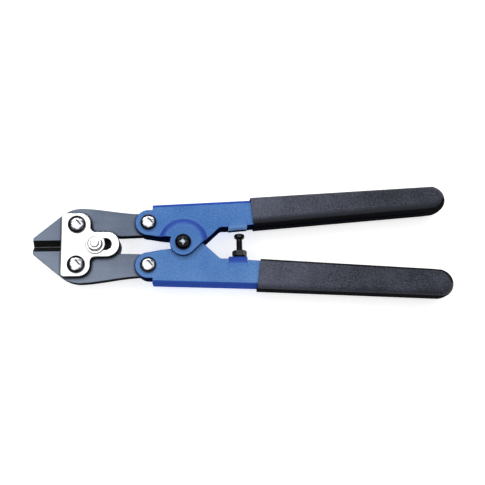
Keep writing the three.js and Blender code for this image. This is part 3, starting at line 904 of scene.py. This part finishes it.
def handle(side):
    """A handle: enamel outside, painted shade inside, on its cut edges and on the bends, and a tab with
    painted light on the upper handle and painted shade on the lower.
    """
    outside, shaded_inside, bent, tabbed = range(4)
    through = 12
    obj = plate(side + "_handle_detail", cheek_outline(), [], -CHEEK_OUT, CHEEK_OUT,
                CUT_EDGE, CUT_EDGE, rings_round_pivot(), step_up)
    combine(obj, round_back(), "INTERSECT")
    combine(obj, channel_void(), "DIFFERENCE")
    with_tab(obj, side)
    for pivot, bore in ((MAIN_PIVOT, 2.85), (TAIL_PIVOT, 2.12)):
        combine(obj, lathe("bore", rod(bore, -through, through), pivot, sides=48), "DIFFERENCE")
    if side == "lower":
        bore = lathe("bore", rod(1.72, 0, through), (STOP.x, 0), (0, 1, 0), 32)
        combine(obj, bore, "DIFFERENCE")
        turned_over(obj)
    # The upper tab takes painted light, the lower one painted shade.
    tab_shading = MAT["lit_fold" if side == "upper" else "deep_fold"]
    stands_for(obj, side + "_handle", MAT["enamel"], MAT["inside_shade"], MAT["fold"], tab_shading)
    tab_top = 12.2
    tab_bottom = 1.6 if side == "upper" else -CHEEK_IN
    for p in obj.data.polygons:
        x, y, z = (p.center - ORIGIN) / MM
        level = abs(p.normal.z)
        if TAB_FROM - 0.1 < x < TAB_TO + 0.1 and abs(y) < tab_top and z > tab_bottom:
            p.material_index = tabbed
        elif level < 0.985 and web_at(x) - abs(y) < BEND + 0.1:
            p.material_index = bent
        else:
            p.material_index = outside if abs(z) > CHEEK_OUT - CUT_EDGE and level > 0.4 else shaded_inside
    smooth(obj, 28)


# ------------------------------------------------ grips
GRIP_HALF = 7.5
GRIP_SLOPE = 0.0516
GRIP_WALL = 0.85
CHANNEL_HALF = 6.5
NOSE_ROUND = 6.0
GRIP_SIZES = {
    "upper": {"mouth": (3.8, 5.1), "end": (97.3, 21.9, 6.5)},
    "lower": {"mouth": (6.3, 8.2), "end": (98.2, 21.6, 6.8)},
}


def grip_outline(start, end_x, end_y, r):
    """A grip seen from the side: two leaning edges and a round end."""
    lean, rise = math.degrees(math.atan(GRIP_SLOPE)), math.degrees(math.atan(INNER_SLOPE))
    turn = Outline((start, 23.4 + GRIP_SLOPE * (start - 5))).line(start, inner_at(start) - GRIP_WALL)
    turn.arc(end_x, end_y, r, rise - 90, lean + 90, step=0.5)
    return turn.array(4.6)


def grip_shell(name, end):
    """The outside of a dipped grip, with the sunk inner side where the channel is open."""
    loop = wound(grip_outline(-6.0, *end), True)
    inward = inset(loop, 1.0) - loop
    middle = inner_at(loop[:, 0]) + CHANNEL_HALF
    radius = np.interp(loop[:, 1] - middle, (-5.0, 4.0), (2.6, 3.6))
    nose = np.clip((loop[:, 0] - end[0]) / end[2], 0, 1)
    radius += (NOSE_ROUND - radius) * np.sin(nose * math.pi / 2) ** 0.7
    inner = np.clip((middle - 4.0 - loop[:, 1]) / 2.0, 0, 1)
    inner *= np.clip((end[0] - loop[:, 0]) / 5, 0, 1)
    flat = GRIP_HALF - radius
    turns = np.radians(np.linspace(0, 90, 9))
    corner = [(radius * (1 - math.sin(a)), flat + radius * math.cos(a)) for a in turns]
    rows = [(shift, -z) for shift, z in corner]
    rows += [(0 * radius, flat * t) for t in np.linspace(-1, 1, 11)[1:-1]]
    rows += corner[::-1]
    dent_depth, dent_half = 1.1, 2.3
    verts, n = [], len(loop)
    for shift, z in rows:
        ring = loop + inward * shift[:, None]
        dent = dent_depth * np.exp(-((z / dent_half) ** 4)) * inner
        verts += [(x, y + d, h) for (x, y), d, h in zip(ring, dent, z)]
    faces = [(i * n + j, i * n + (j + 1) % n, (i + 1) * n + (j + 1) % n, (i + 1) * n + j)
             for i in range(len(rows) - 1) for j in range(n)]
    _, tris = filled([loop + inward * radius[:, None]])
    top = (len(rows) - 1) * n
    faces += [tuple(int(v) for v in t)[::-1] for t in tris]
    faces += [tuple(int(v) + top for v in t) for t in tris]
    return closed_outwards(new_object(name, verts, faces))


def mouth_cut(outer_x, inner_x):
    """Everything in front of the mouth, whose edge leans and wanders a little."""
    rows, cols = 25, 17
    low, height, half, front = 2, 26, 10, -20.0
    inner_y, span = 9, 14
    verts, faces = [], []
    for layer in (0, 1):
        for i in range(rows):
            y = low + height * i / (rows - 1)
            for j in range(cols):
                z = -half + 2 * half * j / (cols - 1)
                lip = inner_x + (outer_x - inner_x) * (y - inner_y) / span
                lip += 0.13 * math.sin(1.3 * y + 0.5 * z) + 0.09 * math.sin(2.9 * y - 0.9 * z)
                verts.append((lip if layer else front, y, z))
    size = rows * cols

    def at(layer, i, j):
        return layer * size + i * cols + j

    for layer in (0, 1):
        for i in range(rows - 1):
            for j in range(cols - 1):
                faces.append((at(layer, i, j), at(layer, i, j + 1),
                              at(layer, i + 1, j + 1), at(layer, i + 1, j)))
    for i in range(rows - 1):
        for j in (0, cols - 1):
            faces.append((at(0, i, j), at(0, i + 1, j), at(1, i + 1, j), at(1, i, j)))
    for j in range(cols - 1):
        for i in (0, rows - 1):
            faces.append((at(0, i, j), at(0, i, j + 1), at(1, i, j + 1), at(1, i, j)))
    return closed_outwards(new_object("mouth", verts, faces))


def grip_core():
    """The space that the handle fills inside a grip."""
    fit, far = 0.12, CHANNEL_END + 0.25
    rows = []
    for x in (-20.0, far):
        low, high = inner_at(x) - fit, web_at(x) + fit
        side = CHEEK_OUT + fit
        ring = [(x, low, -side)]
        for z, start in ((BEND - side, -90), (side - BEND, 0)):
            for a in np.radians(np.linspace(start, start + 90, 6)):
                ring.append((x, high - BEND + BEND * math.cos(a), z + BEND * math.sin(a)))
        rows.append(ring + [(x, low, side)])
    return loft("core", rows)


def grip(side):
    outside, shaded = range(2)
    size = GRIP_SIZES[side]
    obj = grip_shell(side + "_grip_detail", size["end"])
    combine(obj, mouth_cut(*size["mouth"]), "DIFFERENCE")
    combine(obj, grip_core(), "DIFFERENCE")
    if side == "lower":
        turned_over(obj)
    stands_for(obj, side + "_grip", MAT["vinyl"], MAT["underside"])
    # Painted shade: inward and upright faces take the dark vinyl.
    for p in obj.data.polygons:
        inwards = p.normal.y * (p.center.y - ORIGIN.y) < 0 and abs(p.normal.z) < 0.8
        p.material_index = shaded if inwards or abs(p.normal.z) < 0.45 else outside
    smooth(obj, 50)


# ------------------------------------------------ fasteners
def dome(r, base, rise):
    """The upper part of a profile: a low dome from its rim to the axis."""
    turns = np.radians(np.linspace(0, 90, 14))
    points = [(r * math.cos(a), base + rise * math.sin(a)) for a in turns]
    return points[:-1] + [(0, base + rise)]


def thread(r, start, end, step=0.1):
    """Rows of a profile along a threaded length."""
    return [(r, z) for z in np.linspace(start, end, max(2, round((end - start) / step)))]


def ridge(pitch, depth, start, end):
    """A helical thread between two heights, for a lathe."""
    def wave(a, z):
        if not start <= z <= end:
            return 0
        phase = (z / pitch - a / (2 * math.pi)) % 1
        return depth * (abs(2 * phase - 1) - 0.5)
    return wave


def bolt(node, shank, head, rise, seat, glint_radius):
    """A bolt with a thread at its back end, and a UV map that sizes the head's painted highlight to a
    radius.
    """
    at = drawn(node)
    low = (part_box(node)[0].z - ORIGIN.z) / MM
    seat += 0.1
    rim, thread_end = 0.75, -seat + 0.3
    profile = [(0, low), (shank - 0.45, low), (shank - 0.05, low + 0.4)]
    profile += thread(shank - 0.06, low + 0.45, thread_end) + [(shank, -seat + 0.5)]
    profile += [(shank, seat), (head - 0.2, seat), (head, seat + 0.2)]
    profile += dome(head, seat + rim, rise - rim)
    wave = ridge(0.8, 0.1, low + 0.5, thread_end)
    obj = lathe(node + "_detail", profile, (at.x, at.y), sides=72, wave=wave)
    layer = obj.data.uv_layers.new(name="from_axis")
    for loop, uv in zip(obj.data.loops, layer.uv):
        place = (obj.data.vertices[loop.vertex_index].co - ORIGIN) / MM
        uv.vector = ((place.x - at.x) / glint_radius, (place.y - at.y) / glint_radius)
    dark = SLOT[node] == "black_oxide"
    stands_for(obj, node, MAT["pivot" if dark else "bright"])
    smooth(obj, 40)


def hex_nut(name, at, axis, flats, thick, bore):
    """A hexagon nut with both faces chamfered, standing on the point `at`."""
    reach = flats / math.cos(math.pi / 6)
    flat, wide, drop, skin = flats - 0.05, reach + 0.2, 0.55, 0.001
    body = lathe(name, rod(reach, 0, thick), at, axis, 6)
    crown = [(0, -skin), (flat, -skin), (wide, drop), (wide, thick - drop)]
    crown += [(flat, thick + skin), (0, thick + skin)]
    combine(body, lathe("crown", crown, at, axis, 72), "INTERSECT")
    sunk, mouth = 0.35, bore + 1.35
    countersunk = [(0, -1), (mouth, -1), (bore, sunk), (bore, thick - sunk)]
    countersunk += [(mouth, thick + 1), (0, thick + 1)]
    return combine(body, lathe("bore", countersunk, at, axis, 48), "DIFFERENCE")


def back_nut(node, flats, thick, bore):
    """The nut behind a bolt. `flats` is half the width across them."""
    at = drawn(node)
    far = (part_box(node)[0].z - ORIGIN.z) / MM
    obj = hex_nut(node + "_detail", (at.x, at.y, far), (0, 0, 1), flats, thick, bore + 0.1)
    dark = SLOT[node] == "black_oxide"
    stands_for(obj, node, MAT["black" if dark else "zinc"])
    smooth(obj, 20)


def stop():
    """The stop screw with its coarse thread and conical neck, and its lock nut."""
    low, high = ((v.y - ORIGIN.y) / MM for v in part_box("stop_screw"))
    neck, shank, head = 2.5, 1.5, 2.65
    profile = [(0, low), (1.15, low), (shank, low + 0.4)] + thread(shank, low + 0.45, neck - 0.5, 0.08)
    profile += [(1.45, neck), (1.9, neck + 0.35), (head, neck + 0.95), (head, high - 0.9)]
    profile += [(2.35, high - 0.35), (1.6, high - 0.05), (0, high)]
    obj = lathe("stop_screw_detail", profile, (STOP.x, 0), (0, 1, 0), 48,
                ridge(0.75, 0.24, low + 0.5, neck - 0.55))
    stands_for(obj, "stop_screw", MAT["black"])
    smooth(obj, 40)
    foot = (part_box("stop_nut")[0].y - ORIGIN.y) / MM
    nut = hex_nut("stop_nut_detail", (STOP.x, foot, 0), (0, 1, 0), flats=3.2, thick=2.9, bore=1.68)
    stands_for(nut, "stop_nut", MAT["black"])
    smooth(nut, 20)


# ------------------------------------------------ slide lock
DISC_BORE = 1.4


def darken_sides(obj):
    """Gives the upright faces of a turned piece its second material, painted shade."""
    for p in obj.data.polygons:
        p.material_index = 1 if abs(p.normal.z) < 0.3 else 0


def disc(node, profile):
    """A turned disc with the rivet's bore."""
    low, high = profile[0][1], profile[-1][1]
    obj = lathe(node + "_detail", profile, (LOCK.x, LOCK.y), sides=96)
    bore = lathe("bore", rod(DISC_BORE, low - 1, high + 1), (LOCK.x, LOCK.y), sides=48)
    combine(obj, bore, "DIFFERENCE")
    stands_for(obj, node, MAT["lock"], MAT["shaded_side_wall"])
    darken_sides(obj)
    smooth(obj, 40)


def slide_lock():
    """The stud in the slot: washer, button and rivet in front, and the block between the plates."""
    washer = [(0, 5.9), (4.9, 5.9), (4.9, 6.5), (4.6, 6.75), (0, 6.75)]
    disc("lock_washer", rounded(washer, 0.15))
    button = [(0, 6.8), (3.7, 6.8), (3.7, 7.8), (3.1, 8.45), (0, 8.45)]
    disc("lock_button", rounded(button, 0.25))
    rivet = [(0, -2.6), (1.3, -2.6), (1.3, 8.4), (2.2, 8.45), (2.2, 9.0), (1.8, 9.45), (0, 9.5)]
    obj = lathe("lock_rivet_detail", rounded(rivet, 0.2), (LOCK.x, LOCK.y), sides=64)
    stands_for(obj, "lock_rivet", MAT["lock"], MAT["shaded_side_wall"])
    darken_sides(obj)
    smooth(obj, 40)
    offset, end, half = 0.5, 2.1, 2.9
    pill = Outline().arc(LOCK.x + offset, 0, end, -90, 90).arc(LOCK.x - offset, 0, end, 90, 270)
    bore = circle(LOCK.x, 0, DISC_BORE)
    block = plate("lock_block_detail", pill.array(0.5), [bore], -half, half, 0.2, 0.2)
    boss = plate("boss", circle(LOCK.x, 0, 2.45, 64), [bore], 2.4, 5.85, 0.05, 0.15)
    combine(block, boss, "UNION")
    stands_for(block, "lock_block", MAT["zinc"])
    smooth(block)


def bush():
    """The spacer on the main bolt, between the inner cheeks."""
    half, edge = 3.2, 0.35
    outline, bore = circle(MAIN_PIVOT.x, 0, 4.8, 72), circle(MAIN_PIVOT.x, 0, 2.62)
    obj = plate("main_pivot_bush_detail", outline, [bore], -half, half, edge, edge)
    stands_for(obj, "main_pivot_bush", MAT["zinc"])
    smooth(obj)


# ------------------------------------------------ assembly
for half in ("upper", "lower"):
    jaw(half)
    handle(half)
    grip(half)
    bolt(half + "_jaw_bolt", shank=2.4, head=4.45, rise=2.4, seat=PLATE_OUT, glint_radius=3.0)
    bolt(half + "_tail_bolt", shank=2.0, head=3.95, rise=2.2, seat=CHEEK_OUT, glint_radius=3.05)
    back_nut(half + "_jaw_nut", flats=4.0, thick=2.8, bore=2.4)
    back_nut(half + "_tail_nut", flats=3.5, thick=2.4, bore=2.0)
side_plate("front_side_plate", front=True)
side_plate("rear_side_plate", front=False)
bolt("main_pivot_bolt", shank=2.5, head=3.95, rise=2.3, seat=EAR_OUT, glint_radius=2.3)
back_nut("main_pivot_nut", flats=4.0, thick=2.8, bore=2.5)
bush()
stop()
slide_lock()


# ------------------------------------------------ stage
def softbox(name, place, size, glow, turn=0.0):
    """A panel of light that faces straight down. `glow` is watts per square metre."""
    data = bpy.data.lights.new(name, "AREA")
    data.shape = "RECTANGLE"
    data.size, data.size_y = size
    data.energy = glow * size[0] * size[1]
    obj = bpy.data.objects.new(name, data)
    obj.location = place
    obj.rotation_euler = (0, 0, math.radians(turn))
    bpy.context.scene.collection.objects.link(obj)


def floor():
    """A square sheet of paper, a hair below the tool."""
    reach, cells, below = 0.9, 12, -0.1 * MM
    n = cells + 1
    grid = np.linspace(-reach, reach, n)
    mesh = bpy.data.meshes.new("floor")
    verts = [(x, y, below) for y in grid for x in grid]
    faces = [(j * n + i, j * n + i + 1, (j + 1) * n + i + 1, (j + 1) * n + i)
             for j in range(cells) for i in range(cells)]
    mesh.from_pydata(verts, [], faces)
    mesh.materials.append(floor_paper())
    obj = bpy.data.objects.new("floor", mesh)
    bpy.context.scene.collection.objects.link(obj)


def surroundings(strength):
    """A dim white room."""
    world = bpy.data.worlds.new("studio")
    bpy.context.scene.world = world
    world.use_nodes = True
    background = world.node_tree.nodes["Background"]
    background.inputs["Color"].default_value = (1, 1, 1, 1)
    background.inputs["Strength"].default_value = strength


def camera():
    """Looks down at the tool from its lower side, turned a little to its left."""
    pitch, yaw, roll = (math.radians(a) for a in (-12.62, 2.41, 1.22))
    off_x, off_y, distance = -0.4, 1.2, 400.0
    sensor, image_width, focal_length = 36.0, 485, 792.4
    turn = Matrix.Rotation(roll, 3, "Z") @ Matrix.Rotation(pitch, 3, "X") @ Matrix.Rotation(yaw, 3, "Y")
    away = turn.transposed() @ Vector((off_x, off_y, distance))
    data = bpy.data.cameras.new("camera")
    data.sensor_width = sensor
    data.lens = sensor * focal_length / image_width
    data.clip_start = 0.01
    obj = bpy.data.objects.new("camera", data)
    obj.matrix_world = Matrix.Translation(ORIGIN + away * MM) @ turn.transposed().to_4x4()
    bpy.context.scene.collection.objects.link(obj)
    bpy.context.scene.camera = obj


floor()
surroundings(strength=0.12)
softbox("main", (0, -0.02, 0.75), (1.5, 0.8), glow=4.6)
softbox("strip", (-0.05, 0.56, 0.6), (1.2, 0.3), glow=13.0, turn=6)
camera()
bpy.context.scene.view_settings.view_transform = "Standard"
